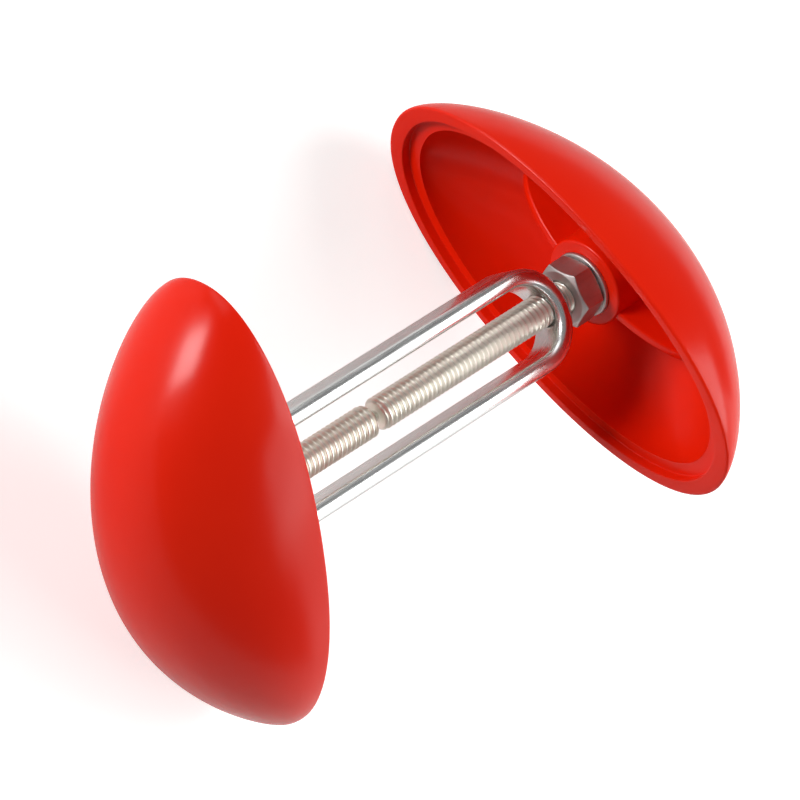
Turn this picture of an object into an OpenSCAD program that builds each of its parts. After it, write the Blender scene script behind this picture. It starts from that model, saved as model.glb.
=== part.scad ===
// Adjustable mini shoe stretcher: two moulded shells that a turnbuckle pushes apart inside a shoe.
// X runs along the screws, Y across, Z up; the origin is the middle of the turnbuckle ring.
// The right-hand screw end is at +X, the left-hand one at -X, and both are drawn screwed in.

/* [Shells] */
// Length of a shell from tip to tip
shell_len = 57; // [50:1:70]
// Width of a shell across its rim
shell_w = 27.5; // [25:0.5:34]
// Height of the dome over the rim plane
dome_h = 16.8; // [15:0.2:22]
// Thickness of the moulded wall
wall_t = 2.2; // [1.8:0.1:2.8]
// Solid plastic between a tip of the rim and the hollow
tip_solid = 4; // [3.4:0.2:6]
// Width of the flat land along the rim's sides
land_w = 1.1; // [0.9:0.1:1.4]
// Width of the flat land at the rim's tips
land_tip_w = 2.2; // [1.8:0.1:3]
// Depth of the step inside the land
step_d = 1.2; // [0.8:0.1:1.8]
// Chamfer on the rim's outer edge
rim_edge = 0.3; // [0.2:0.05:0.5]
// Angle that each shell is turned about the screws, away from level
twist = 28; // [0:1:90]

/* [Shell bosses] */
// Height of the boss over the floor of the hollow
boss_h = 10; // [9:0.1:10.6]
// Plastic round the corners of the moulded-in screw head
boss_wall = 1.4; // [1:0.1:2]
// Plastic between the boss face and the screw head
head_cover = 3.4; // [2:0.1:4]

/* [Turnbuckle ring] */
// Length of the ring over its round ends
ring_len = 50; // [44:1:60]
// Width of the ring over its two legs
ring_w = 12.4; // [11:0.2:16]
// Thickness of the bent strip
strip_t = 2; // [1.6:0.1:2.4]
// Width of the bent strip
strip_w = 5.6; // [5.4:0.1:8]
// Radius on the strip's rolled edges
strip_edge_r = 0.45; // [0.2:0.05:0.55]

/* [Screws] */
// Diameter over the thread
screw_d = 4; // [3.5:0.1:4.4]
// Chamfer on the inner end
screw_chamfer = 0.4; // [0.2:0.1:0.7]
// Diameter of the centre dimple in the inner end
dimple_d = 1.4; // [0.8:0.1:1.6]
// Depth of the centre dimple
dimple_depth = 0.6; // [0.3:0.1:1]
// Where the two inner ends face each other, from the ring's middle
meet_x = -4.4; // [-6:0.1:6]
// Gap between the two inner ends
meet_gap = 1; // [0.8:0.1:3]
// Width across the flats of the moulded-in head
head_af = 7; // [6.5:0.1:8]
// Thickness of the moulded-in head
head_t = 2.8; // [2:0.1:3.4]

/* [Nuts and washers] */
// Width across the flats of a lock nut
nut_af = 7; // [6.6:0.1:8]
// Thickness of a lock nut
nut_t = 3.2; // [2.2:0.1:4]
// Outer diameter of a washer
washer_d = 8; // [7.6:0.1:9]
// Thickness of a washer
washer_t = 0.5; // [0.4:0.1:1]

/* [Clearances] */
// Gap between the ring's end and the lock nut, screwed in
nut_gap = 1; // [0.8:0.1:3]
// Radial play of a screw in the ring's tapped hole
thread_play = 0.05; // [0.02:0.01:0.1]
// Radial clearance of a washer round its screw
washer_play = 0.15; // [0.1:0.05:0.3]
// Gap between faces that bear on each other, and round what is moulded in
face_gap = 0.03; // [0.02:0.01:0.05]

/* [Hidden] */
$fn = 48;

// Exponents of the rim's outline and of the dome's long profile
rim_power = 2.15;
rim_fullness = 0.47;
dome_fullness = 0.8;
// Points round a ring of the shell's surface, and rings from the dome's top to its rim
ring_pts = 72;
dome_rings = 13;

screw_r = screw_d / 2;
strip_mid_r = (ring_w - strip_t) / 2;
leg_len = ring_len - ring_w;
corner_r = head_af / 2 / cos(30);
boss_r = corner_r + boss_wall;
boss_chamfer = 0.4;
nut_corner_r = nut_af / 2 / cos(30);
// Flat of the nut's face that its turned chamfer leaves, and how deep the chamfer goes at a corner
nut_face_r = nut_af / 2 * 0.95;
nut_chamfer = (nut_corner_r - nut_face_r) * tan(30);
past = 0.1;

// Places along +X, each from the one before it: ring end, nut, washer, boss face, rim plane
nut_x = ring_len / 2 + nut_gap;
washer_x = nut_x + nut_t + face_gap;
boss_x = washer_x + washer_t + face_gap;
boss_depth = dome_h - wall_t - boss_h;
rim_x = boss_x - boss_depth;
head_x = boss_x + head_cover;

// The rim's outline with half length a and half width b, as [y, z] points round the screw axis
function outline(a, b) = [
    for (i = [0 : ring_pts - 1])
        let (t = 360 * i / ring_pts)
        [a * cos(t), b * sign(sin(t)) * pow(max(0, 1 - pow(abs(cos(t)), rim_power)), rim_fullness)]
];

// Height of the dome with half length a, half width b and height h over the point [y, z] of its base
function dome_height(y, z, a, b, h) =
    let (u = min(1, abs(y) / a))
    let (half_w = b * pow(1 - pow(u, rim_power), rim_fullness))
    half_w <= 0 ? 0 : h * pow(1 - u * u, dome_fullness) * sqrt(max(0, 1 - pow(z / half_w, 2)));

// A flat ring of the outline at height x
function flat_ring(a, b, x) = [for (p = outline(a, b)) [x, p[0], p[1]]];

// Ring k of a dome that stands on the plane x; the last ring lies in that plane
function dome_ring(a, b, h, x, k) =
    let (s = sin(90 * k / dome_rings))
    [for (p = outline(a, b))
        [x + (k == dome_rings ? 0 : dome_height(s * p[0], s * p[1], a, b, h)), s * p[0], s * p[1]]];

// Rings of the whole shell in one run: outer dome, land, step, ledge, then the hollow up to its floor
function shell_rings() =
    let (a = shell_len / 2)
    let (b = shell_w / 2)
    let (a_in = a - tip_solid)
    let (b_in = b - wall_t)
    let (h_in = dome_h - wall_t - step_d)
    concat(
        [for (k = [1 : dome_rings]) dome_ring(a, b, dome_h - rim_edge, rim_edge, k)],
        [flat_ring(a - rim_edge, b - rim_edge, 0)],
        [flat_ring(a - land_tip_w, b - land_w, 0)],
        [flat_ring(a - land_tip_w, b - land_w, step_d)],
        [for (k = [dome_rings : -1 : 1]) dome_ring(a_in, b_in, h_in, step_d, k)]
    );

// Triangles between ring r and the next, and the fans that close the two ends of the run
function band_faces(r) = [
    for (i = [0 : ring_pts - 1])
        let (j = (i + 1) % ring_pts)
        let (p = r * ring_pts)
        each [[p + i, p + j, p + ring_pts + i], [p + j, p + ring_pts + j, p + ring_pts + i]]
];

function cap_faces(first, pole, outward) = [
    for (i = [0 : ring_pts - 1])
        let (j = (i + 1) % ring_pts)
        outward ? [first + i, pole, first + j] : [first + i, first + j, pole]
];

// The moulded cup: rim plane at x = 0, dome towards +X, long axis along Y
module cup() {
    rings = shell_rings();
    count = len(rings);
    points = concat([for (r = rings) each r], [[dome_h, 0, 0], [dome_h - wall_t, 0, 0]]);
    pole = count * ring_pts;
    polyhedron(
        points = points,
        faces = concat(
            cap_faces(0, pole, true),
            [for (r = [0 : count - 2]) each band_faces(r)],
            cap_faces((count - 1) * ring_pts, pole + 1, false)
        ),
        convexity = 6
    );
}

// Boss in the middle of the hollow; its top follows the dome from half a wall below
module boss() {
    top_x = dome_h - wall_t / 2;
    side_x = dome_height(0, boss_r, shell_len / 2, shell_w / 2, dome_h) - wall_t / 2;
    rotate([0, 90, 0])
        rotate_extrude()
            polygon([[0, boss_depth], [boss_r - boss_chamfer, boss_depth],
                     [boss_r, boss_depth + boss_chamfer], [boss_r, side_x], [0, top_x]]);
}

module shell() {
    color("#d81408")
        difference() {
            union() {
                cup();
                boss();
            }
            // What the plastic was moulded round: the screw's shank and its hexagon head
            translate([boss_depth - past, 0, 0])
                rotate([0, 90, 0])
                    cylinder(r = screw_r + face_gap, h = head_cover + past * 2);
            translate([boss_depth + head_cover - face_gap, 0, 0])
                rotate([0, 90, 0])
                    cylinder(r = corner_r + face_gap, h = head_t + face_gap * 2, $fn = 6);
        }
}

// Everything outboard of the ring on one side; the left end is the right one turned half round
module right_end() {
    rotate([-twist, 0, 0]) children();
}

module left_end() {
    rotate([0, 0, 180]) rotate([-twist, 0, 0]) children();
}

// Screw from its inner end at x = inner_x out to the head inside the boss
module screw(inner_x) {
    shank = head_x - inner_x;
    color("silver")
        union() {
            translate([inner_x, 0, 0])
                rotate([0, 90, 0])
                    rotate_extrude()
                        polygon([[0, dimple_depth], [dimple_d / 2, 0], [screw_r - screw_chamfer, 0],
                                 [screw_r, screw_chamfer], [screw_r, shank], [0, shank]]);
            translate([head_x, 0, 0])
                rotate([0, 90, 0])
                    cylinder(r = corner_r, h = head_t, $fn = 6);
        }
}

// Hexagon lock nut with turned chamfers on both faces
module lock_nut() {
    color("silver")
        translate([nut_x, 0, 0])
            rotate([0, 90, 0])
                difference() {
                    intersection() {
                        cylinder(r = nut_corner_r, h = nut_t, $fn = 6);
                        rotate_extrude()
                            polygon([[0, 0], [nut_face_r, 0], [nut_corner_r + past, nut_chamfer + past * tan(30)],
                                     [nut_corner_r + past, nut_t - nut_chamfer - past * tan(30)],
                                     [nut_face_r, nut_t], [0, nut_t]]);
                    }
                    translate([0, 0, -past])
                        cylinder(r = screw_r + face_gap, h = nut_t + past * 2);
                }
}

module washer() {
    color("silver")
        translate([washer_x, 0, 0])
            rotate([0, 90, 0])
                difference() {
                    cylinder(d = washer_d, h = washer_t);
                    translate([0, 0, -past])
                        cylinder(r = screw_r + washer_play, h = washer_t + past * 2);
                }
}

// Cross-section of the strip with rolled edges: thickness along x, width along y
module strip_section() {
    union() {
        square([strip_t, strip_w - 2 * strip_edge_r], center = true);
        square([strip_t - 2 * strip_edge_r, strip_w], center = true);
        for (sx = [-1, 1], sy = [-1, 1])
            translate([sx * (strip_t / 2 - strip_edge_r), sy * (strip_w / 2 - strip_edge_r)])
                circle(r = strip_edge_r);
    }
}

// Half-round end of the ring, bent round Z
module ring_bend() {
    translate([leg_len / 2, 0, 0])
        rotate([0, 0, -90])
            rotate_extrude(angle = 180)
                translate([strip_mid_r, 0])
                    strip_section();
}

module ring_leg() {
    translate([-leg_len / 2, strip_mid_r, 0])
        rotate([0, 90, 0])
            rotate([0, 0, 90])
                linear_extrude(height = leg_len)
                    strip_section();
}

module turnbuckle_ring() {
    color("silver")
        difference() {
            union() {
                for (turn = [0, 180])
                    rotate([0, 0, turn]) {
                        ring_bend();
                        ring_leg();
                    }
            }
            // Tapped holes, right-hand at +X and left-hand at -X
            for (side = [-1, 1])
                translate([side * (ring_len / 2 - strip_t / 2) - strip_t, 0, 0])
                    rotate([0, 90, 0])
                        cylinder(r = screw_r + thread_play, h = strip_t * 2);
        }
}

module left_washer() { left_end() washer(); }
module right_washer() { right_end() washer(); }
module left_shell() { left_end() translate([rim_x, 0, 0]) shell(); }
module right_shell() { right_end() translate([rim_x, 0, 0]) shell(); }
module left_screw() { left_end() screw(meet_gap / 2 - meet_x); }
module right_screw() { right_end() screw(meet_gap / 2 + meet_x); }
module left_nut() { left_end() lock_nut(); }
module right_nut() { right_end() lock_nut(); }

turnbuckle_ring();
left_washer();
right_washer();
left_shell();
right_shell();
left_screw();
right_screw();
left_nut();
right_nut();
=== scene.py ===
"""A small toe-box shoe stretcher: two glossy moulded half shells on a turnbuckle.

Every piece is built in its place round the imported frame, in metres, with +X along the screws
towards the right-hand thread. The pieces' dataclass fields are real sizes in millimetres, apart from
counts, shares, powers and angles, and an angle's name ends in _deg.
"""

import logging
import math
from dataclasses import dataclass, field
from enum import Enum

import bpy
from mathutils import Matrix, Vector


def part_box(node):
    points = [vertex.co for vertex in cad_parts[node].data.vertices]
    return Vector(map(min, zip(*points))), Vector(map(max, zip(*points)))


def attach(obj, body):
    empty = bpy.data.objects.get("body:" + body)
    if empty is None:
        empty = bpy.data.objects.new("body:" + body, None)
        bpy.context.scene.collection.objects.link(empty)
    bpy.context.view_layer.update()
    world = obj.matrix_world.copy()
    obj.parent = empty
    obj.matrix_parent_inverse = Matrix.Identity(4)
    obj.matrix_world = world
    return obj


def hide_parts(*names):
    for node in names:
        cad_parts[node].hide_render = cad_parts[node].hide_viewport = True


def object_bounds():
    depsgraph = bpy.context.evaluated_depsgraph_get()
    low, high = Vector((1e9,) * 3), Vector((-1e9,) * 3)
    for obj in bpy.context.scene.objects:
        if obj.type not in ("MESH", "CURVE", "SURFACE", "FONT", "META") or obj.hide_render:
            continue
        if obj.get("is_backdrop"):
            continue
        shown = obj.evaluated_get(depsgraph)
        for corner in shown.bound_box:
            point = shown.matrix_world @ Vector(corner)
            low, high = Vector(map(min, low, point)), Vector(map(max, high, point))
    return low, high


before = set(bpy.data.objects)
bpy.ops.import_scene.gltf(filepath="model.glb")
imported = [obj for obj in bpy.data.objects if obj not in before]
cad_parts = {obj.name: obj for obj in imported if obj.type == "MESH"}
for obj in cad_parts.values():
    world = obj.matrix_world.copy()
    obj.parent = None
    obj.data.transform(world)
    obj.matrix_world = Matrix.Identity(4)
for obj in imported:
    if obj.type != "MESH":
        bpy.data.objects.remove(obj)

LOG = logging.getLogger("shoe_stretcher")
MM = 0.001
# The part of a noise pattern's range of 0 to 1 that most of it lies in
NOISE_SPAN = (0.3, 0.7)

Object = bpy.types.Object
Material = bpy.types.Material
Tree = bpy.types.NodeTree
Node = bpy.types.Node
Socket = bpy.types.NodeSocket
Point = tuple[float, float, float]
Ring = list[Point]
Surface = tuple[list[Point], list[tuple]]


def linear(hex_colour: str) -> tuple[float, float, float, float]:
    """Turns an sRGB hex colour into the linear colour that a shader takes.

    Args:
        hex_colour: six hex digits after a #.

    Returns:
        Linear red, green and blue, and an alpha of 1.
    """
    parts = [int(hex_colour[i : i + 2], 16) / 255 for i in (1, 3, 5)]
    rgb = [c / 12.92 if c <= 0.04045 else ((c + 0.055) / 1.055) ** 2.4 for c in parts]
    return (*rgb, 1.0)


def add_node(tree: Tree, kind: str, inputs: dict | None = None, **settings: object) -> Node:
    """Adds a node to a shader or geometry tree.

    Args:
        tree: the tree that gets the node.
        kind: the node's type name.
        inputs: input name or number to a constant, or to the socket that feeds it.
        settings: the node's own properties.

    Returns:
        The new node.
    """
    node = tree.nodes.new(kind)
    for name, value in settings.items():
        setattr(node, name, value)
    for key, value in (inputs or {}).items():
        if isinstance(value, Socket):
            tree.links.new(value, node.inputs[key])
        else:
            node.inputs[key].default_value = value
    return node


def mesh_piece(
    name: str, surface: Surface, place: Matrix, material: Material, sharp_deg: float = 30.0
) -> Object:
    """Makes a smooth-shaded mesh object at the origin, with edges over an angle kept sharp.

    Args:
        name: the piece's name.
        surface: its vertices, and its faces as loops of vertex numbers, anticlockwise from outside.
        place: what brings the vertices to their place in metres.
        material: the piece's one material.
        sharp_deg: the angle between faces above which an edge is sharp.

    Returns:
        The object, linked to the scene.
    """
    vertices, faces = surface
    mesh = bpy.data.meshes.new(name)
    mesh.from_pydata([tuple(place @ Vector(p)) for p in vertices], [], faces)
    mesh.validate()
    mesh.shade_smooth()
    mesh.set_sharp_from_angle(angle=math.radians(sharp_deg))
    mesh.materials.append(material)
    piece = bpy.data.objects.new(name, mesh)
    bpy.context.scene.collection.objects.link(piece)
    return piece


def loft(rings: list[Ring], start: Point | None, end: Point | None) -> Surface:
    """Joins rings of equal count into one closed surface.

    Args:
        rings: the rings in order, each running the same way round.
        start: the pole that closes the first ring, or None.
        end: the pole that closes the last ring, or None. With no poles the last ring joins the first.

    Returns:
        The vertices and the faces.
    """
    count = len(rings[0])
    nexts = [(i, (i + 1) % count) for i in range(count)]
    vertices = [p for ring in rings for p in ring]
    faces: list[tuple] = []
    spans = len(rings) - 1 if start else len(rings)
    for r in range(spans):
        low, high = r * count, (r + 1) % len(rings) * count
        faces += [(low + i, high + i, high + j, low + j) for i, j in nexts]
    if start and end:
        first, last = len(vertices), (len(rings) - 1) * count
        vertices += [start, end]
        for i, j in nexts:
            faces += [(first, i, j), (first + 1, last + j, last + i)]
    return vertices, faces


def circle_turns(points: int) -> list[float]:
    """Evenly spaced turns round a circle, in radians."""
    return [math.tau * i / points for i in range(points)]


def polar_ring(radii: list[float], heights: list[float]) -> Ring:
    """A ring about the X axis from each point's radius and height, in even turns."""
    spots = zip(circle_turns(len(radii)), radii, heights)
    return [(x, radius * math.cos(turn), radius * math.sin(turn)) for turn, radius, x in spots]


def round_ring(radius: float, x: float, points: int) -> Ring:
    """A flat round ring about the X axis."""
    return polar_ring([radius] * points, [x] * points)


def hexagon_corner(flats: float) -> float:
    """Distance from the middle of a hexagon of that width across the flats to its corners."""
    return flats / 2 / math.cos(math.pi / 6)


def hexagon_reaches(half_flats: float, points: int) -> list[float]:
    """Distances from a hexagon's middle to its sides, in even turns from a flat's middle.

    Args:
        half_flats: half the width across the flats.
        points: how many turns.

    Returns:
        The distances, in the unit of half_flats.
    """
    off_flats = [(360 * i / points + 30) % 60 - 30 for i in range(points)]
    return [half_flats / math.cos(math.radians(turn)) for turn in off_flats]


def rounding(radius: float, steps: int) -> list[tuple[float, float]]:
    """Steps of a rounded edge from one of its faces to the other.

    Args:
        radius: the edge's radius.
        steps: how many steps it takes.

    Returns:
        For each ring, a distance that grows from 0 to the radius, and one that shrinks from it to 0.
    """
    turns = [math.pi / 2 * k / steps for k in range(steps + 1)]
    return [(radius * (1 - math.cos(turn)), radius * (1 - math.sin(turn))) for turn in turns]


class Side(Enum):
    """One end of the stretcher: its name, the way it points along X, and its thread's hand."""

    LEFT = ("left", -1)
    RIGHT = ("right", 1)

    @property
    def word(self) -> str:
        """The side's name, which starts its pieces' names."""
        return self.value[0]

    @property
    def sign(self) -> int:
        """The way the end points along X, and its thread's hand: 1 is right-hand."""
        return self.value[1]

    @property
    def end_body(self) -> str:
        """The body of the shell, the screw and the nut."""
        return self.word + "_end"

    @property
    def carriage_body(self) -> str:
        """The body of the washer."""
        return self.word + "_carriage"

    def reach(self, node: str) -> tuple[float, float]:
        """How far a node of this side lies from the ring's middle.

        Args:
            node: the node's name without the side's word.

        Returns:
            Its least and greatest distance along X, in millimetres.
        """
        low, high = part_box(f"{self.word}_{node}")
        ends = sorted(self.sign * x / MM for x in (low.x, high.x))
        return ends[0], ends[1]

    def place(self, twist_deg: float, x: float) -> Matrix:
        """Placement of a piece drawn in millimetres along +X.

        Args:
            twist_deg: how far the end is turned about the screws' axis.
            x: distance of the piece from the ring's middle.

        Returns:
            The matrix from millimetres along +X to metres at this side.
        """
        half_round = Matrix.Rotation(0.0 if self.sign > 0 else math.pi, 4, "Z")
        twist = Matrix.Rotation(math.radians(-twist_deg), 4, "X")
        return half_round @ twist @ Matrix.Scale(MM, 4) @ Matrix.Translation((x, 0, 0))


@dataclass(frozen=True)
class Finish:
    """What each finish has: two colours, two roughnesses and a low relief, each of which follows a pattern.

    The levels are shader values that are the same all over, and wear_span is the part of the roughness
    pattern's range that reaches from the first roughness to the second.
    """

    name: str
    colours: tuple[str, str]
    roughness: tuple[float, float]
    relief_mm: float
    levels: tuple[tuple[str, float], ...] = (("Metallic", 1.0),)
    wear_span: tuple[float, float] = NOISE_SPAN

    def patterns(self, tree: Tree, place: Socket) -> tuple[Socket, ...]:
        """Adds the finish's own patterns.

        Args:
            tree: the material's tree.
            place: the point on the piece, in metres.

        Returns:
            The sockets that the colour, the roughness and the relief follow, from 0 to 1.
        """
        raise NotImplementedError

    def material(self) -> Material:
        """Builds the material round the patterns.

        Returns:
            The material.
        """
        made = bpy.data.materials.new(self.name)
        made.use_nodes = True
        tree = made.node_tree
        shader = tree.nodes["Principled BSDF"]
        place = add_node(tree, "ShaderNodeTexCoord").outputs["Object"]
        tint, wear, relief = self.patterns(tree, place)
        first, second = [linear(colour) for colour in self.colours]
        colour = add_node(tree, "ShaderNodeMix", {"Factor": tint, "A": first, "B": second}, data_type="RGBA")
        (start, stop), (low, high) = self.wear_span, self.roughness
        ends = {"From Min": start, "From Max": stop, "To Min": low, "To Max": high}
        rough = add_node(tree, "ShaderNodeMapRange", {"Value": wear, **ends})
        bump = add_node(tree, "ShaderNodeBump", {"Height": relief, "Distance": self.relief_mm * MM})
        tree.links.new(colour.outputs["Result"], shader.inputs["Base Color"])
        tree.links.new(rough.outputs["Result"], shader.inputs["Roughness"])
        tree.links.new(bump.outputs["Normal"], shader.inputs["Normal"])
        for socket, level in self.levels:
            shader.inputs[socket].default_value = level
        return made


@dataclass(frozen=True)
class MouldedPlastic(Finish):
    """Glossy ABS, injection-moulded in a polished tool.

    The eye gets a deep pigmented red, one even gloss, and a faint waviness where the melt shrank.
    The gloss changes over a broad haze, because a finer one shows as specks.
    """

    name: str = "red_abs_polished_moulding"
    colours: tuple[str, str] = ("#E81B03", "#EE2505")
    roughness: tuple[float, float] = (0.21, 0.27)
    relief_mm: float = 0.012
    levels: tuple[tuple[str, float], ...] = (("IOR", 1.53), ("Specular IOR Level", 0.2))
    drift_mm: float = 14.0
    drift_detail: float = 2.0
    haze_mm: float = 6.0
    waviness_mm: float = 5.0
    soft_detail: float = 1.0

    def patterns(self, tree: Tree, place: Socket) -> tuple[Socket, ...]:
        """Adds the pigment's drift, the haze and the waviness.

        Args:
            tree: the material's tree.
            place: the point on the piece, in metres.

        Returns:
            The sockets that the colour, the roughness and the relief follow.
        """
        kinds = (
            (self.drift_mm, self.drift_detail),
            (self.haze_mm, self.soft_detail),
            (self.waviness_mm, self.soft_detail),
        )
        noises = [{"Vector": place, "Scale": 1 / (size * MM), "Detail": detail} for size, detail in kinds]
        return tuple(add_node(tree, "ShaderNodeTexNoise", noise).outputs["Fac"] for noise in noises)


@dataclass(frozen=True)
class PlatedStrip(Finish):
    """Nickel-plated mild steel strip, cold-rolled and then bent.

    The eye gets a bright satin grey with fine rolling lines along the strip. The lines are drawn
    some five times as wide as real ones, so that they show.
    """

    name: str = "nickel_plated_rolled_strip"
    colours: tuple[str, str] = ("#E6E7E6", "#D6D7D6")
    roughness: tuple[float, float] = (0.2, 0.34)
    relief_mm: float = 0.004
    line_mm: float = 0.16
    line_run_mm: float = 7.0
    cloud_mm: float = 6.0
    detail: float = 3.0

    def patterns(self, tree: Tree, place: Socket) -> tuple[Socket, ...]:
        """Adds the plating's clouds and the rolling lines, which follow the piece's strip_run attribute.

        Args:
            tree: the material's tree.
            place: the point on the piece, in metres.

        Returns:
            The sockets that the colour, the roughness and the relief follow.
        """
        run = add_node(tree, "ShaderNodeAttribute", attribute_name="strip_run").outputs["Fac"]
        parts = add_node(tree, "ShaderNodeSeparateXYZ", {"Vector": place})
        flat = add_node(tree, "ShaderNodeCombineXYZ", {"X": run, "Y": parts.outputs["Z"]})
        scales = (1 / (self.line_run_mm * MM), 1 / (self.line_mm * MM), 0.0)
        drawn = add_node(tree, "ShaderNodeVectorMath", {0: flat.outputs[0], 1: scales}, operation="MULTIPLY")
        rolled = {"Vector": drawn.outputs["Vector"], "Scale": 1.0, "Detail": self.detail}
        lines = add_node(tree, "ShaderNodeTexNoise", rolled)
        clouds = {"Vector": place, "Scale": 1 / (self.cloud_mm * MM), "Detail": self.detail}
        cloud = add_node(tree, "ShaderNodeTexNoise", clouds)
        return cloud.outputs["Fac"], lines.outputs["Fac"], lines.outputs["Fac"]


@dataclass(frozen=True)
class RolledThread(Finish):
    """Zinc-plated steel rod with a rolled thread.

    The eye gets burnished crests, and roots that are duller and painted darker, a painted shade in the
    thread's recesses.
    Both ranges run from the root to the crest. The plating's grain is drawn coarse, so that it shows.
    """

    name: str = "zinc_plated_rolled_thread"
    colours: tuple[str, str] = ("#E6E3D8", "#F6F4EA")
    roughness: tuple[float, float] = (0.42, 0.3)
    relief_mm: float = 0.004
    wear_span: tuple[float, float] = (0.0, 1.0)
    grain_mm: float = 0.5
    detail: float = 3.0

    def patterns(self, tree: Tree, place: Socket) -> tuple[Socket, ...]:
        """Reads the piece's crest attribute and adds the plating's grain.

        Args:
            tree: the material's tree.
            place: the point on the piece, in metres.

        Returns:
            The sockets that the colour, the roughness and the relief follow.
        """
        crest = add_node(tree, "ShaderNodeAttribute", attribute_name="crest").outputs["Fac"]
        grains = {"Vector": place, "Scale": 1 / (self.grain_mm * MM), "Detail": self.detail}
        # The colour follows the crest, so the roots get a painted shade and the crests are lighter.
        return crest, crest, add_node(tree, "ShaderNodeTexNoise", grains).outputs["Fac"]


@dataclass(frozen=True)
class TurnedFastener(Finish):
    """Zinc-plated steel nut or washer, with turning marks round the screw's axis.

    The eye gets rings on the faces, drawn about twice as coarse as real ones so that they show,
    and a slightly mottled plating.
    """

    name: str = "zinc_plated_turned_steel"
    colours: tuple[str, str] = ("#CBC8C6", "#ADA9A7")
    roughness: tuple[float, float] = (0.42, 0.58)
    relief_mm: float = 0.003
    ring_mm: float = 0.12
    ring_detail: float = 2.0
    mottle_mm: float = 1.6
    mottle_detail: float = 3.0

    def patterns(self, tree: Tree, place: Socket) -> tuple[Socket, ...]:
        """Adds the mottle and the turning marks, which follow the distance from the screws' axis.

        Args:
            tree: the material's tree.
            place: the point on the piece, in metres.

        Returns:
            The sockets that the colour, the roughness and the relief follow.
        """
        across = add_node(tree, "ShaderNodeVectorMath", {0: place, 1: (0.0, 1.0, 1.0)}, operation="MULTIPLY")
        radius = add_node(tree, "ShaderNodeVectorMath", {0: across.outputs["Vector"]}, operation="LENGTH")
        rings = {"W": radius.outputs["Value"], "Scale": 1 / (self.ring_mm * MM), "Detail": self.ring_detail}
        marks = add_node(tree, "ShaderNodeTexNoise", rings, noise_dimensions="1D")
        blots = {"Vector": place, "Scale": 1 / (self.mottle_mm * MM), "Detail": self.mottle_detail}
        mottle = add_node(tree, "ShaderNodeTexNoise", blots)
        return mottle.outputs["Fac"], marks.outputs["Fac"], marks.outputs["Fac"]


@dataclass
class GrownPiece:
    """A piece that a geometry tree grows: the tree, and the sizes that go into its named inputs."""

    name: str
    tree: Tree
    sizes: dict[str, object]

    def grow(self) -> Object:
        """Runs the tree and keeps its result as a plain mesh.

        Returns:
            The object at the origin, linked to the scene, with no modifier.
        """
        seed = bpy.data.objects.new(self.name + "_seed", bpy.data.meshes.new(self.name + "_seed"))
        bpy.context.scene.collection.objects.link(seed)
        modifier = seed.modifiers.new(self.tree.name, "NODES")
        modifier.node_group = self.tree
        for item in self.tree.interface.items_tree:
            if item.in_out == "INPUT" and item.name in self.sizes:
                modifier[item.identifier] = self.sizes[item.name]
        grown = seed.evaluated_get(bpy.context.evaluated_depsgraph_get())
        mesh = bpy.data.meshes.new_from_object(grown)
        mesh.name = self.name
        bpy.data.objects.remove(seed)
        piece = bpy.data.objects.new(self.name, mesh)
        bpy.context.scene.collection.objects.link(piece)
        return piece


def new_tree(name: str, inputs: dict[str, str]) -> tuple[Tree, dict[str, Socket]]:
    """Starts a geometry tree with named inputs and one geometry output.

    Args:
        name: the tree's name.
        inputs: input name to socket type.

    Returns:
        The tree, and its input sockets by name.
    """
    tree = bpy.data.node_groups.new(name, "GeometryNodeTree")
    tree.interface.new_socket("Geometry", in_out="OUTPUT", socket_type="NodeSocketGeometry")
    for label, kind in inputs.items():
        tree.interface.new_socket(label, in_out="INPUT", socket_type=kind)
    return tree, {s.name: s for s in tree.nodes.new("NodeGroupInput").outputs if s.name}


def finish_tree(tree: Tree, geometry: Socket, material: Socket, sharp_deg: float) -> None:
    """Shades a tree's mesh, realizes it, gives it its material and makes it the output.

    Args:
        tree: the tree.
        geometry: the mesh so far.
        material: the input socket that holds the material.
        sharp_deg: the angle between faces above which an edge is sharp.
    """
    angle = add_node(tree, "GeometryNodeInputMeshEdgeAngle").outputs["Unsigned Angle"]
    limit = math.radians(sharp_deg)
    sharp = add_node(tree, "FunctionNodeCompare", {0: angle, 1: limit}, operation="GREATER_THAN").outputs[0]
    all_smooth = {"Geometry": geometry, "Shade Smooth": True}
    smooth = add_node(tree, "GeometryNodeSetShadeSmooth", all_smooth, domain="FACE").outputs[0]
    some_sharp = {"Geometry": smooth, "Selection": sharp, "Shade Smooth": False}
    edged = add_node(tree, "GeometryNodeSetShadeSmooth", some_sharp, domain="EDGE")
    real = add_node(tree, "GeometryNodeRealizeInstances", {"Geometry": edged.outputs[0]})
    painted = add_node(tree, "GeometryNodeSetMaterial", {"Geometry": real.outputs[0], "Material": material})
    add_node(tree, "NodeGroupOutput", {"Geometry": painted.outputs[0]})


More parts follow.
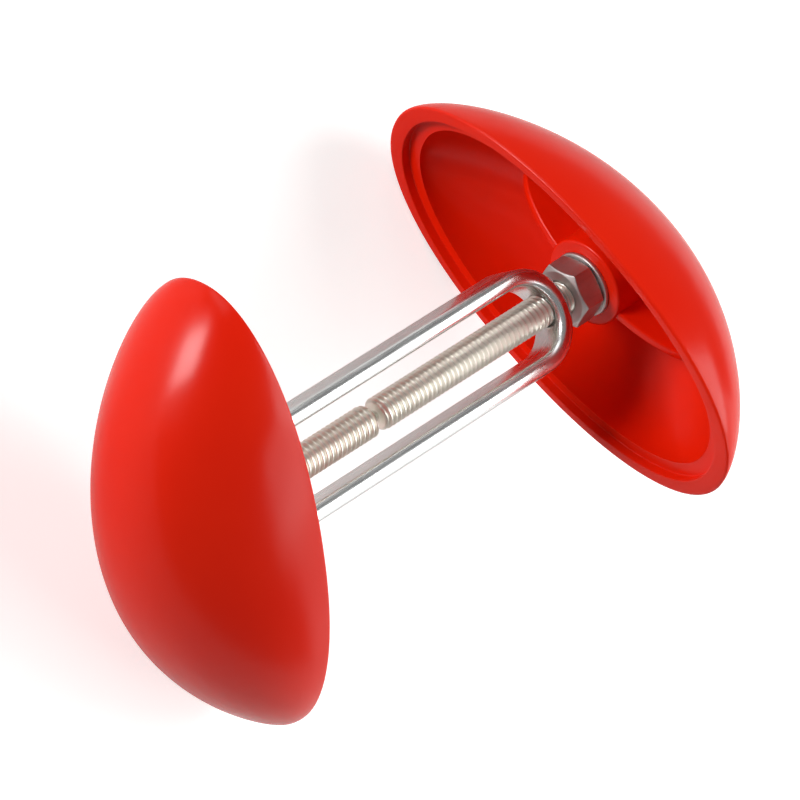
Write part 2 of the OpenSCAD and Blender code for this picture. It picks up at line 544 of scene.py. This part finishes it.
@dataclass
class TurnbuckleRing:
    """The oblong ring of bent strip that turns on both screws.

    Its overall size comes from its node, and the strip's width is the node's height.
    """

    strip_t: float = 2.0
    edge_r: float = 0.85
    edge_steps: int = 6
    bend_points: int = 96
    hole_r: float = 2.05
    hole_points: int = 96
    sharp_deg: float = 35.0
    finish: PlatedStrip = field(default_factory=PlatedStrip)

    def tree(self) -> Tree:
        """Builds the ring's tree: a circle pulled out into an oblong, a strip swept along it, and two holes.

        Returns:
            The geometry tree.
        """
        lengths = ["Leg", "Bend Radius", "Strip Thickness", "Strip Width", "Edge Radius", "Hole Radius"]
        kinds = {name: "NodeSocketFloat" for name in lengths}
        kinds |= {name: "NodeSocketInt" for name in ("Bend Points", "Hole Points", "Edge Steps")}
        tree, given = new_tree("bent_strip_ring", kinds | {"Material": "NodeSocketMaterial"})
        place = add_node(tree, "GeometryNodeInputPosition").outputs[0]
        known = given | {"X": add_node(tree, "ShaderNodeSeparateXYZ", {0: place}).outputs["X"]}
        # Each sum has a name, an operation and operands, which are numbers or values named before it.
        # The half step turns the circle, so that none of its points lies at X = 0.
        for name, operation, *operands in (
            ("half step", "DIVIDE", math.pi, "Bend Points"),
            ("way", "SIGN", "X"),
            ("half leg", "MULTIPLY", "Leg", 0.5),
            ("pull", "MULTIPLY", "way", "half leg"),
            ("right reach", "ADD", "half leg", "Bend Radius"),
            ("left reach", "MULTIPLY", "right reach", -1.0),
            ("bore depth", "MULTIPLY", "Strip Thickness", 2.0),
        ):
            values = {i: known.get(operand, operand) for i, operand in enumerate(operands)}
            known[name] = add_node(tree, "ShaderNodeMath", values, operation=operation).outputs[0]
        bend = {"Resolution": given["Bend Points"], "Radius": given["Bend Radius"]}
        circle = add_node(tree, "GeometryNodeCurvePrimitiveCircle", bend).outputs[0]
        turn = add_node(tree, "ShaderNodeCombineXYZ", {"Z": known["half step"]}).outputs[0]
        turned = add_node(tree, "GeometryNodeTransform", {"Geometry": circle, "Rotation": turn}).outputs[0]
        offset = add_node(tree, "ShaderNodeCombineXYZ", {"X": known["pull"]}).outputs[0]
        oblong = add_node(tree, "GeometryNodeSetPosition", {"Geometry": turned, "Offset": offset}).outputs[0]
        along = add_node(tree, "GeometryNodeSplineParameter").outputs["Length"]
        marked = add_node(
            tree,
            "GeometryNodeStoreNamedAttribute",
            {"Geometry": oblong, "Name": "strip_run", "Value": along},
            data_type="FLOAT",
            domain="POINT",
        ).outputs[0]
        upright = add_node(tree, "GeometryNodeSetCurveNormal", {"Curve": marked}, mode="Z_UP").outputs[0]
        section = {"Width": given["Strip Thickness"], "Height": given["Strip Width"]}
        outline = add_node(tree, "GeometryNodeCurvePrimitiveQuadrilateral", section).outputs[0]
        edges = {"Curve": outline, "Radius": given["Edge Radius"], "Count": given["Edge Steps"]}
        rolled = add_node(tree, "GeometryNodeFilletCurve", edges, mode="POLY").outputs[0]
        sweep = {"Curve": upright, "Profile Curve": rolled}
        swept = add_node(tree, "GeometryNodeCurveToMesh", sweep).outputs[0]
        bore = {
            "Vertices": given["Hole Points"],
            "Radius": given["Hole Radius"],
            "Depth": known["bore depth"],
        }
        drill = add_node(tree, "GeometryNodeMeshCylinder", bore).outputs["Mesh"]
        cut = {"operation": "DIFFERENCE", "solver": "MANIFOLD"}
        tapped = add_node(tree, "GeometryNodeMeshBoolean", {"Mesh 1": swept}, **cut)
        along_x = (0.0, math.pi / 2, 0.0)
        for reach in ("left reach", "right reach"):
            seat = add_node(tree, "ShaderNodeCombineXYZ", {"X": known[reach]}).outputs[0]
            hole = {"Geometry": drill, "Translation": seat, "Rotation": along_x}
            tree.links.new(add_node(tree, "GeometryNodeTransform", hole).outputs[0], tapped.inputs["Mesh 2"])
        finish_tree(tree, tapped.outputs["Mesh"], given["Material"], self.sharp_deg)
        return tree

    def build(self) -> Object:
        """Grows the ring and hangs it on the turnbuckle's body.

        Returns:
            The piece.
        """
        low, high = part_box("turnbuckle_ring")
        size = high - low
        sizes = {
            "Leg": size.x - size.y,
            "Bend Radius": (size.y - self.strip_t * MM) / 2,
            "Strip Thickness": self.strip_t * MM,
            "Strip Width": size.z,
            "Edge Radius": self.edge_r * MM,
            "Hole Radius": self.hole_r * MM,
            "Bend Points": self.bend_points,
            "Hole Points": self.hole_points,
            "Edge Steps": self.edge_steps,
            "Material": self.finish.material(),
        }
        piece = GrownPiece("bent_strip_ring", self.tree(), sizes).grow()
        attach(piece, "turnbuckle")
        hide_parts("turnbuckle_ring")
        return piece


@dataclass
class ThreadedScrew:
    """A threaded rod with a chamfered, dimpled inner end and a hexagon head moulded into its shell.

    The flank's shares say where in a pitch, counted from a root, the thread starts and stops to rise.
    """

    radius: float = 2.0
    pitch: float = 0.7
    thread_depth: float = 0.32
    flank_start: float = 0.07
    flank_end: float = 0.43
    chamfer: float = 0.4
    dimple_r: float = 0.7
    dimple_depth: float = 0.6
    head_flats: float = 7.0
    head_t: float = 2.8
    rows_a_pitch: int = 16
    columns: int = 48
    end_rings: int = 16
    sharp_deg: float = 50.0
    finish: RolledThread = field(default_factory=RolledThread)

    def tree(self) -> Tree:
        """Builds the rod's tree: a cylinder whose radius follows the thread's phase at each point.

        Returns:
            The geometry tree.
        """
        lengths = ["Length", "Radius", "Pitch", "Thread Depth", "Chamfer", "Dimple Radius", "Dimple Depth"]
        kinds = {name: "NodeSocketFloat" for name in [*lengths, "Hand", "Head Radius", "Head Thickness"]}
        kinds |= {name: "NodeSocketInt" for name in ("Rows", "Columns", "End Rings")}
        kinds |= {name: "NodeSocketVector" for name in ("Place", "Turn")}
        tree, given = new_tree("threaded_rod", kinds | {"Material": "NodeSocketMaterial"})
        rod = add_node(
            tree,
            "GeometryNodeMeshCylinder",
            {
                "Vertices": given["Columns"],
                "Side Segments": given["Rows"],
                "Fill Segments": given["End Rings"],
                "Radius": given["Radius"],
                "Depth": given["Length"],
            },
            fill_type="TRIANGLE_FAN",
        ).outputs["Mesh"]
        place = add_node(tree, "GeometryNodeInputPosition").outputs[0]
        parts = add_node(tree, "ShaderNodeSeparateXYZ", {0: place}).outputs
        flat = add_node(tree, "ShaderNodeCombineXYZ", {"X": parts["X"], "Y": parts["Y"]}).outputs[0]
        known = given | {axis: parts[axis] for axis in "XYZ"}
        known["out"] = add_node(tree, "ShaderNodeVectorMath", {0: flat}, operation="LENGTH").outputs["Value"]
        crest = add_node(
            tree,
            "ShaderNodeMapRange",
            {"From Min": self.flank_start, "From Max": self.flank_end},
            interpolation_type="SMOOTHSTEP",
        )
        known["crest"] = crest.outputs[0]
        # Each sum has a name, an operation and operands, which are numbers or values named before it.
        # The wave is 0 at a root and 0.5 at a crest, rising and falling once in each pitch. The scale
        # brings a point of the side to the thread, and a point of an end face along with it.
        for name, operation, *operands in (
            ("half length", "MULTIPLY", "Length", 0.5),
            ("along", "ADD", "Z", "half length"),
            ("angle", "ARCTAN2", "Y", "X"),
            ("turns", "DIVIDE", "angle", math.tau),
            ("handed turns", "MULTIPLY", "turns", "Hand"),
            ("pitches", "DIVIDE", "along", "Pitch"),
            ("lead", "SUBTRACT", "pitches", "handed turns"),
            ("wave", "PINGPONG", "lead", 0.5),
            ("root radius", "SUBTRACT", "Radius", "Thread Depth"),
            ("thread radius", "MULTIPLY_ADD", "crest", "Thread Depth", "root radius"),
            ("nose radius", "SUBTRACT", "Radius", "Chamfer"),
            ("cone radius", "ADD", "nose radius", "along"),
            ("side radius", "MINIMUM", "thread radius", "cone radius"),
            ("scale", "DIVIDE", "side radius", "Radius"),
            ("scaled out", "MULTIPLY", "out", "scale"),
            ("share of dimple", "DIVIDE", "scaled out", "Dimple Radius"),
            ("rest of dimple", "SUBTRACT", 1.0, "share of dimple"),
            ("in dimple", "MAXIMUM", "rest of dimple", 0.0),
            ("dimple", "MULTIPLY", "in dimple", "Dimple Depth"),
            ("at inner end", "LESS_THAN", "along", "Chamfer"),
            ("height", "MULTIPLY_ADD", "dimple", "at inner end", "along"),
            ("head seat", "MULTIPLY_ADD", "Head Thickness", 0.5, "Length"),
        ):
            values = {i: known.get(operand, operand) for i, operand in enumerate(operands)}
            known[name] = add_node(tree, "ShaderNodeMath", values, operation=operation).outputs[0]
        tree.links.new(known["wave"], crest.inputs["Value"])
        scaled = {0: flat, "Scale": known["scale"]}
        spread = add_node(tree, "ShaderNodeVectorMath", scaled, operation="SCALE").outputs["Vector"]
        lift = add_node(tree, "ShaderNodeCombineXYZ", {"Z": known["height"]}).outputs[0]
        target = add_node(tree, "ShaderNodeVectorMath", {0: spread, 1: lift}, operation="ADD")
        kept = add_node(
            tree,
            "GeometryNodeStoreNamedAttribute",
            {"Geometry": rod, "Name": "crest", "Value": known["crest"]},
            data_type="FLOAT",
            domain="POINT",
        ).outputs[0]
        moved = {"Geometry": kept, "Position": target.outputs["Vector"]}
        threaded = add_node(tree, "GeometryNodeSetPosition", moved).outputs[0]
        hexagon = {"Vertices": 6, "Radius": given["Head Radius"], "Depth": given["Head Thickness"]}
        head = add_node(tree, "GeometryNodeMeshCylinder", hexagon).outputs["Mesh"]
        seat = add_node(tree, "ShaderNodeCombineXYZ", {"Z": known["head seat"]}).outputs[0]
        seated = add_node(tree, "GeometryNodeTransform", {"Geometry": head, "Translation": seat}).outputs[0]
        joined = add_node(tree, "GeometryNodeJoinGeometry")
        for part in (threaded, seated):
            tree.links.new(part, joined.inputs[0])
        pose = {"Geometry": joined.outputs[0], "Translation": given["Place"], "Rotation": given["Turn"]}
        placed = add_node(tree, "GeometryNodeTransform", pose).outputs[0]
        finish_tree(tree, placed, given["Material"], self.sharp_deg)
        return tree

    def build(self, side: Side, tree: Tree, material: Material) -> Object:
        """Grows one screw from its inner end out to its head.

        Args:
            side: the screw's end of the stretcher.
            tree: the rod's tree.
            material: the rod's material.

        Returns:
            The piece.
        """
        inner, outer = side.reach("screw")
        length = outer - self.head_t - inner
        sizes = {
            "Length": length * MM,
            "Radius": self.radius * MM,
            "Pitch": self.pitch * MM,
            "Thread Depth": self.thread_depth * MM,
            "Chamfer": self.chamfer * MM,
            "Dimple Radius": self.dimple_r * MM,
            "Dimple Depth": self.dimple_depth * MM,
            "Hand": float(side.sign),
            "Head Radius": hexagon_corner(self.head_flats) * MM,
            "Head Thickness": self.head_t * MM,
            "Rows": round(length / self.pitch * self.rows_a_pitch),
            "Columns": self.columns,
            "End Rings": self.end_rings,
            "Place": (side.sign * inner * MM, 0.0, 0.0),
            "Turn": (0.0, side.sign * math.pi / 2, 0.0),
            "Material": material,
        }
        piece = GrownPiece(side.word + "_threaded_rod", tree, sizes).grow()
        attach(piece, side.end_body)
        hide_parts(side.word + "_screw")
        return piece


@dataclass
class HalfShell:
    """The moulded half almond: dome, land, step, hollow, and the boss and rib that hold the screw's head.

    The outline is a little under the nominal 57 x 27.5 mm, so that its finer curve keeps inside the node.
    A height x is measured from the rim plane into the shell.
    """

    length: float = 56.92
    width: float = 27.44
    wall: float = 2.2
    tip_solid: float = 4.0
    land_w: float = 1.1
    land_tip_w: float = 2.2
    land_shares: tuple[float, ...] = (0.35, 0.7)
    step_d: float = 1.2
    rim_round: float = 0.3
    land_round: float = 0.12
    twist_deg: float = 28.0
    rim_power: float = 2.15
    rim_fullness: float = 0.47
    dome_fullness: float = 0.8
    boss_h: float = 10.0
    boss_wall: float = 1.4
    boss_round: float = 0.4
    boss_foot: float = 0.9
    bore_r: float = 2.03
    head_cover: float = 3.4
    head_flats: float = 7.0
    head_t: float = 2.8
    moulding_gap: float = 0.03
    rib_t: float = 1.2
    rib_reach: float = 16.0
    rib_round: float = 0.3
    rib_steps: int = 28
    points: int = 192
    dome_steps: int = 60
    round_steps: int = 5
    sharp_deg: float = 40.0
    finish: MouldedPlastic = field(default_factory=MouldedPlastic)

    @property
    def boss_r(self) -> float:
        """Radius of the boss: the head's corners and the plastic round them."""
        return hexagon_corner(self.head_flats) + self.boss_wall

    def shares(self) -> list[float]:
        """Shares of the outline's size at which a dome has rings, close together near the rim."""
        return [math.sin(math.pi / 2 * k / self.dome_steps) for k in range(self.dome_steps + 1)]

    def outline(self, half_l: float, half_w: float, x: float) -> Ring:
        """A flat ring of the rim's outline.

        Args:
            half_l: half its length.
            half_w: half its width.
            x: its height.

        Returns:
            The ring.
        """
        ring = []
        for turn in circle_turns(self.points):
            share = max(0.0, 1 - abs(math.cos(turn)) ** self.rim_power) ** self.rim_fullness
            ring.append((x, half_l * math.cos(turn), math.copysign(half_w * share, math.sin(turn))))
        return ring

    def height(self, y: float, z: float, half_l: float, half_w: float, top: float) -> float:
        """Height of a dome over a point of its base.

        Args:
            y: the point's place along the base.
            z: the point's place across the base.
            half_l: half the base's length.
            half_w: half the base's width.
            top: the dome's height in the middle.

        Returns:
            The height, 0 at the outline and beyond it.
        """
        share = min(1.0, abs(y) / half_l)
        reach = half_w * (1 - share**self.rim_power) ** self.rim_fullness
        if reach <= 0 or abs(z) >= reach:
            return 0.0
        return top * (1 - share * share) ** self.dome_fullness * math.sqrt(1 - (z / reach) ** 2)

    def outside(self, top: float) -> list[Ring]:
        """Rings of the dome from its top to the rim's rounded edge.

        Args:
            top: the dome's height in the middle.

        Returns:
            The rings.
        """
        half_l, half_w = self.length / 2, self.width / 2
        rise = top - self.rim_round
        rings = []
        for share in self.shares()[1:-1]:
            base = [(y, z) for _, y, z in self.outline(half_l * share, half_w * share, 0.0)]
            rings.append([(self.rim_round + self.height(y, z, half_l, half_w, rise), y, z) for y, z in base])
        for inset, x in rounding(self.rim_round, self.round_steps):
            rings.append(self.outline(half_l - inset, half_w - inset, x))
        return rings

    def land(self) -> list[Ring]:
        """Rings of the flat land, the step inside it and the ledge.

        Returns:
            The rings.
        """
        half_l, half_w = self.length / 2, self.width / 2
        rings = []
        for share in self.land_shares:
            inset_l = self.rim_round + (self.land_tip_w - self.rim_round) * share
            inset_w = self.rim_round + (self.land_w - self.rim_round) * share
            rings.append(self.outline(half_l - inset_l, half_w - inset_w, 0.0))
        half_l -= self.land_tip_w
        half_w -= self.land_w
        for x, spread in rounding(self.land_round, self.round_steps):
            rings.append(self.outline(half_l + spread, half_w + spread, x))
        for inset, rise in rounding(self.land_round, self.round_steps):
            rings.append(self.outline(half_l - inset, half_w - inset, self.step_d - rise))
        return rings

    def hollow(self, top: float) -> list[Ring]:
        """Rings of the hollow from its mouth to the boss's foot.

        Args:
            top: the dome's height in the middle.

        Returns:
            The rings.
        """
        half_l, half_w = self.length / 2 - self.tip_solid, self.width / 2 - self.wall
        rise = top - self.wall - self.step_d
        mouth = self.outline(half_l, half_w, 0.0)
        foot = round_ring(self.boss_r + self.boss_foot, 0.0, self.points)
        rings = []
        for share in reversed(self.shares()):
            # The outline turns into the foot's circle on the way in
            ring = []
            for (_, y1, z1), (_, y0, z0) in zip(mouth, foot):
                y, z = y0 + (y1 - y0) * share, z0 + (z1 - z0) * share
                ring.append((self.step_d + self.height(y, z, half_l, half_w, rise), y, z))
            rings.append(ring)
        return rings

    def boss(self, floor: Ring, face_x: float) -> list[Ring]:
        """Rings of the boss, its bore and the hexagon pocket, from its foot inwards.

        Args:
            floor: the hollow's last ring, at the foot of the boss.
            face_x: height of the boss's face.

        Returns:
            The rings.
        """
        rings = []
        for drop, spread in rounding(self.boss_foot, self.round_steps)[1:]:
            base = round_ring(self.boss_r + spread, 0.0, self.points)
            rings.append([(x - drop, y, z) for (x, _, _), (_, y, z) in zip(floor, base)])
        for inset, rise in rounding(self.boss_round, self.round_steps):
            rings.append(round_ring(self.boss_r - inset, face_x + rise, self.points))
        pocket_x = face_x + self.head_cover - self.moulding_gap
        rings.append(round_ring(self.bore_r + self.land_round, face_x, self.points))
        rings.append(round_ring(self.bore_r, face_x + self.land_round, self.points))
        rings.append(round_ring(self.bore_r, pocket_x, self.points))
        reaches = hexagon_reaches(self.head_flats / 2 + self.moulding_gap, self.points)
        for x in (pocket_x, pocket_x + self.head_t + 2 * self.moulding_gap):
            rings.append(polar_ring(reaches, [x] * self.points))
        return rings

    def rib_section(self, y: float, face_x: float, foot_x: float, top: float) -> Ring:
        """A section of the rib across the hollow, with its top edges rounded.

        Args:
            y: the section's place along the hollow.
            face_x: height of the boss's face, with which the rib is flush.
            foot_x: height at which the rib's top edge sinks into the wall at its reach.
            top: the dome's height in the middle.

        Returns:
            The ring.
        """
        share = min(1.0, abs(y) / self.rib_reach)
        edge_x = foot_x - (foot_x - face_x) * math.sqrt(1 - share * share)
        root_x = self.height(y, 0.0, self.length / 2, self.width / 2, top) - self.wall / 2
        small = min(self.rib_round, (root_x - edge_x) / 2)
        half = self.rib_t / 2
        corner = [(edge_x + rise, y, half - inset) for inset, rise in rounding(small, self.round_steps)]
        return [(root_x, y, half), *corner, *[(x, y, -z) for x, _, z in reversed(corner)], (root_x, y, -half)]

    def rib(self, face_x: float, top: float, way: int) -> Surface:
        """The half of the rib on one side of the boss, from inside the boss's wall to inside the dome's.

        Args:
            face_x: height of the boss's face.
            top: the dome's height in the middle.
            way: 1 or -1, the way it runs along the hollow.

        Returns:
            The vertices and the faces.
        """
        foot_x = self.height(self.rib_reach, 0.0, self.length / 2, self.width / 2, top) - self.wall / 2
        start = math.asin((self.boss_r - self.boss_wall / 2) / self.rib_reach)
        turns = [start + (math.pi / 2 - start) * k / self.rib_steps for k in range(self.rib_steps)]
        sections = [self.rib_section(way * self.rib_reach * math.sin(t), face_x, foot_x, top) for t in turns]
        near, far = (face_x + self.boss_wall, sections[0][0][1], 0.0), (foot_x, way * self.rib_reach, 0.0)
        if way > 0:
            return loft(sections, near, far)
        return loft(sections[::-1], far, near)

    def build(self, side: Side, material: Material) -> Object:
        """Makes one shell, turned and placed as its node is.

        Args:
            side: the shell's end of the stretcher.
            material: the plastic.

        Returns:
            The piece.
        """
        rim_x, top_x = side.reach("shell")
        top = top_x - rim_x
        face_x = top - self.wall - self.boss_h
        hollow = self.hollow(top)
        rings = [*self.outside(top), *self.land(), *hollow, *self.boss(hollow[-1], face_x)]
        blind_x = face_x + self.head_cover + self.head_t + self.moulding_gap
        vertices, faces = loft(rings, (top, 0.0, 0.0), (blind_x, 0.0, 0.0))
        for way in (-1, 1):
            points, spans = self.rib(face_x, top, way)
            faces += [tuple(len(vertices) + i for i in span) for span in spans]
            vertices += points
        place = side.place(self.twist_deg, rim_x)
        piece = mesh_piece(side.word + "_half_shell", (vertices, faces), place, material, self.sharp_deg)
        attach(piece, side.end_body)
        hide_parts(side.word + "_shell")
        return piece


@dataclass
class LockNut:
    """The hexagon nut that locks each screw to its shell's boss, with turned chamfers."""

    flats: float = 7.0
    bore_r: float = 2.03
    face_share: float = 0.95
    chamfer_deg: float = 30.0
    bevel: float = 0.07
    bevel_segments: int = 2
    mouth: float = 0.2
    points: int = 96
    sharp_deg: float = 25.0
    finish: TurnedFastener = field(default_factory=TurnedFastener)

    def build(self, side: Side, twist_deg: float, material: Material) -> Object:
        """Makes one nut in its node's place.

        Args:
            side: the nut's end of the stretcher.
            twist_deg: how far that end is turned.
            material: the plated steel.

        Returns:
            The piece.
        """
        near, far = side.reach("nut")
        thickness = far - near
        face_r = self.flats / 2 * self.face_share
        sides = hexagon_reaches(self.flats / 2, self.points)
        fall = [(reach - face_r) * math.tan(math.radians(self.chamfer_deg)) for reach in sides]
        # From the bore's mouth near the ring, over both faces, to the bore's mouth near the boss
        rings = [
            round_ring(self.bore_r, self.mouth, self.points),
            round_ring(self.bore_r + self.mouth, 0.0, self.points),
            round_ring(face_r, 0.0, self.points),
            polar_ring(sides, fall),
            polar_ring(sides, [thickness - drop for drop in fall]),
            round_ring(face_r, thickness, self.points),
            round_ring(self.bore_r + self.mouth, thickness, self.points),
            round_ring(self.bore_r, thickness - self.mouth, self.points),
        ]
        surface, place = loft(rings[::-1], None, None), side.place(twist_deg, near)
        piece = mesh_piece(side.word + "_lock_nut", surface, place, material, self.sharp_deg)
        softened = piece.modifiers.new("edge_bevel", "BEVEL")
        softened.width = self.bevel * MM
        softened.segments = self.bevel_segments
        softened.limit_method = "ANGLE"
        softened.angle_limit = math.radians(self.sharp_deg)
        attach(piece, side.end_body)
        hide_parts(side.word + "_nut")
        return piece


@dataclass
class Washer:
    """The stamped washer under each nut, rounded on the die side."""

    outer_r: float = 4.0
    bore_r: float = 2.15
    die_round: float = 0.25
    burr_round: float = 0.06
    round_steps: int = 4
    points: int = 96
    sharp_deg: float = 40.0

    def build(self, side: Side, material: Material) -> Object:
        """Makes one washer in its node's place.

        Args:
            side: the washer's end of the stretcher.
            material: the plated steel.

        Returns:
            The piece.
        """
        near, far = side.reach("washer")
        thickness = far - near
        burr = self.burr_round
        # Radius and height of each ring, round the washer's section
        section = [(self.bore_r, burr), (self.bore_r + burr, 0.0)]
        die_edge = rounding(self.die_round, self.round_steps)
        section += [(self.outer_r - inset, rise) for rise, inset in die_edge]
        section += [(self.outer_r, thickness - burr), (self.outer_r - burr, thickness)]
        section += [(self.bore_r + burr, thickness), (self.bore_r, thickness - burr)]
        rings = [round_ring(radius, height, self.points) for radius, height in section]
        surface, place = loft(rings[::-1], None, None), side.place(0.0, near)
        piece = mesh_piece(side.word + "_stamped_washer", surface, place, material, self.sharp_deg)
        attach(piece, side.carriage_body)
        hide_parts(side.word + "_washer")
        return piece


@dataclass
class Stretcher:
    """The whole shoe stretcher: the ring, and a screw, nut, washer and shell at each end."""

    ring: TurnbuckleRing = field(default_factory=TurnbuckleRing)
    screw: ThreadedScrew = field(default_factory=ThreadedScrew)
    shell: HalfShell = field(default_factory=HalfShell)
    nut: LockNut = field(default_factory=LockNut)
    washer: Washer = field(default_factory=Washer)

    def build(self) -> None:
        """Builds every piece and reports it."""
        thread = self.screw.finish.material()
        plastic = self.shell.finish.material()
        plated = self.nut.finish.material()
        rod_tree = self.screw.tree()
        pieces = [self.ring.build()]
        for side in Side:
            pieces.append(self.screw.build(side, rod_tree, thread))
            pieces.append(self.washer.build(side, plated))
            pieces.append(self.nut.build(side, self.shell.twist_deg, plated))
            pieces.append(self.shell.build(side, plastic))
        for piece in pieces:
            mesh = piece.data
            LOG.info("%s: %d vertices, %d faces", piece.name, len(mesh.vertices), len(mesh.polygons))


def aim(data: bpy.types.ID, azimuth: float, elevation: float, roll: float, distance: float) -> Object:
    """Hangs a lamp or a camera so that it looks at the object's middle.

    Args:
        data: the lamp or the camera.
        azimuth: degrees round from -Y towards +X.
        elevation: degrees up from level.
        roll: degrees about its own line of sight.
        distance: metres from the middle.

    Returns:
        The new object, linked to the scene.
    """
    thing = bpy.data.objects.new(data.name, data)
    bpy.context.scene.collection.objects.link(thing)
    turn, rise = math.radians(azimuth), math.radians(elevation)
    back = Vector((math.sin(turn) * math.cos(rise), -math.cos(turn) * math.cos(rise), math.sin(rise)))
    level = (-back).to_track_quat("-Z", "Y")
    thing.location = back * distance
    thing.rotation_mode = "QUATERNION"
    thing.rotation_quaternion = level @ Matrix.Rotation(math.radians(roll), 4, "Z").to_quaternion()
    return thing


@dataclass(frozen=True)
class Softbox:
    """A square lamp that faces the object, in degrees and metres.

    A level of 1 lights a facing white surface to white by itself.
    """

    name: str
    azimuth: float
    elevation: float
    distance: float
    size: float
    level: float

    def build(self) -> None:
        """Puts the lamp into the scene."""
        lamp = bpy.data.lights.new(self.name, "AREA")
        lamp.shape = "SQUARE"
        lamp.size = self.size
        lamp.energy = self.level * (math.pi * self.distance) ** 2
        aim(lamp, self.azimuth, self.elevation, 0.0, self.distance)


@dataclass
class Studio:
    """A plain pale floor, soft lamps, a plain world, and the camera at the photograph's angle.

    Its sizes are in metres and degrees, apart from the camera's sensor, which is in millimetres.
    """

    azimuth: float = -107.3
    elevation: float = 54.7
    roll: float = 78.4
    distance: float = 0.565
    field_w: float = 0.0888
    sensor: float = 36.0
    clip_near: float = 0.01
    clip_far: float = 50.0
    floor_half: float = 6.0
    floor_colour: str = "#E8E8E6"
    floor_glow: float = 0.6
    floor_mirror_glow: float = 0.15
    glow_colour: str = "#FFFFFF"
    world_level: float = 0.07
    world_mirror_level: float = 0.24
    softboxes: tuple[Softbox, ...] = (
        Softbox("left_softbox", -136.0, 11.0, 0.8, 0.28, 0.69),
        Softbox("top_left_softbox", 172.0, 24.0, 0.8, 0.5, 0.2),
        Softbox("back_softbox", 68.0, 46.0, 0.8, 0.5, 0.56),
        Softbox("right_softbox", 44.0, 18.0, 0.8, 0.8, 0.38),
        Softbox("near_softbox", 22.0, 44.0, 0.8, 0.42, 0.22),
    )

    def camera(self) -> None:
        """Places the camera, rolled about its own axis, so that the object lies as in the photograph."""
        data = bpy.data.cameras.new("camera")
        data.sensor_width = self.sensor
        data.lens = self.sensor * self.distance / self.field_w
        data.clip_start, data.clip_end = self.clip_near, self.clip_far
        bpy.context.scene.camera = aim(data, self.azimuth, self.elevation, self.roll, self.distance)

    def floor_material(self) -> Material:
        """Makes the matt floor, which the camera and reflections see paler than it lights.

        Returns:
            The material.
        """
        made = bpy.data.materials.new("matt_pale_floor")
        made.use_nodes = True
        tree = made.node_tree
        shader = tree.nodes["Principled BSDF"]
        rays = add_node(tree, "ShaderNodeLightPath")
        mirrored = add_node(
            tree,
            "ShaderNodeMath",
            {0: rays.outputs["Is Glossy Ray"], 1: self.floor_mirror_glow},
            operation="MULTIPLY",
        )
        glow = add_node(
            tree,
            "ShaderNodeMath",
            {0: rays.outputs["Is Camera Ray"], 1: self.floor_glow, 2: mirrored.outputs[0]},
            operation="MULTIPLY_ADD",
        )
        shader.inputs["Base Color"].default_value = linear(self.floor_colour)
        shader.inputs["Roughness"].default_value = 1.0
        shader.inputs["Specular IOR Level"].default_value = 0.0
        shader.inputs["Emission Color"].default_value = linear(self.glow_colour)
        tree.links.new(glow.outputs[0], shader.inputs["Emission Strength"])
        return made

    def floor(self) -> None:
        """Lays the floor under the object."""
        low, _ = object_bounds()
        half = self.floor_half
        corners = [(-half, -half, low.z), (half, -half, low.z), (half, half, low.z), (-half, half, low.z)]
        piece = mesh_piece("floor", (corners, [(0, 1, 2, 3)]), Matrix.Identity(4), self.floor_material())
        piece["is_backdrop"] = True

    def world(self) -> None:
        """Gives the scene a plain world, paler to reflections than as a light, and the Standard view."""
        world = bpy.data.worlds.new("plain_world")
        world.use_nodes = True
        tree = world.node_tree
        background = tree.nodes["Background"]
        background.inputs["Color"].default_value = linear(self.glow_colour)
        rays = add_node(tree, "ShaderNodeLightPath")
        ends = {"To Min": self.world_level, "To Max": self.world_mirror_level}
        level = add_node(tree, "ShaderNodeMapRange", {"Value": rays.outputs["Is Glossy Ray"], **ends})
        tree.links.new(level.outputs["Result"], background.inputs["Strength"])
        bpy.context.scene.world = world
        bpy.context.scene.view_settings.view_transform = "Standard"

    def build(self) -> None:
        """Builds the studio round the finished object."""
        self.camera()
        self.floor()
        self.world()
        for softbox in self.softboxes:
            softbox.build()
        LOG.info("studio: %d softboxes", len(self.softboxes))


def main() -> None:
    logging.basicConfig(level=logging.INFO, format="%(name)s: %(message)s")
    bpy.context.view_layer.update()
    Stretcher().build()
    Studio().build()


if __name__ == "__main__":
    main()
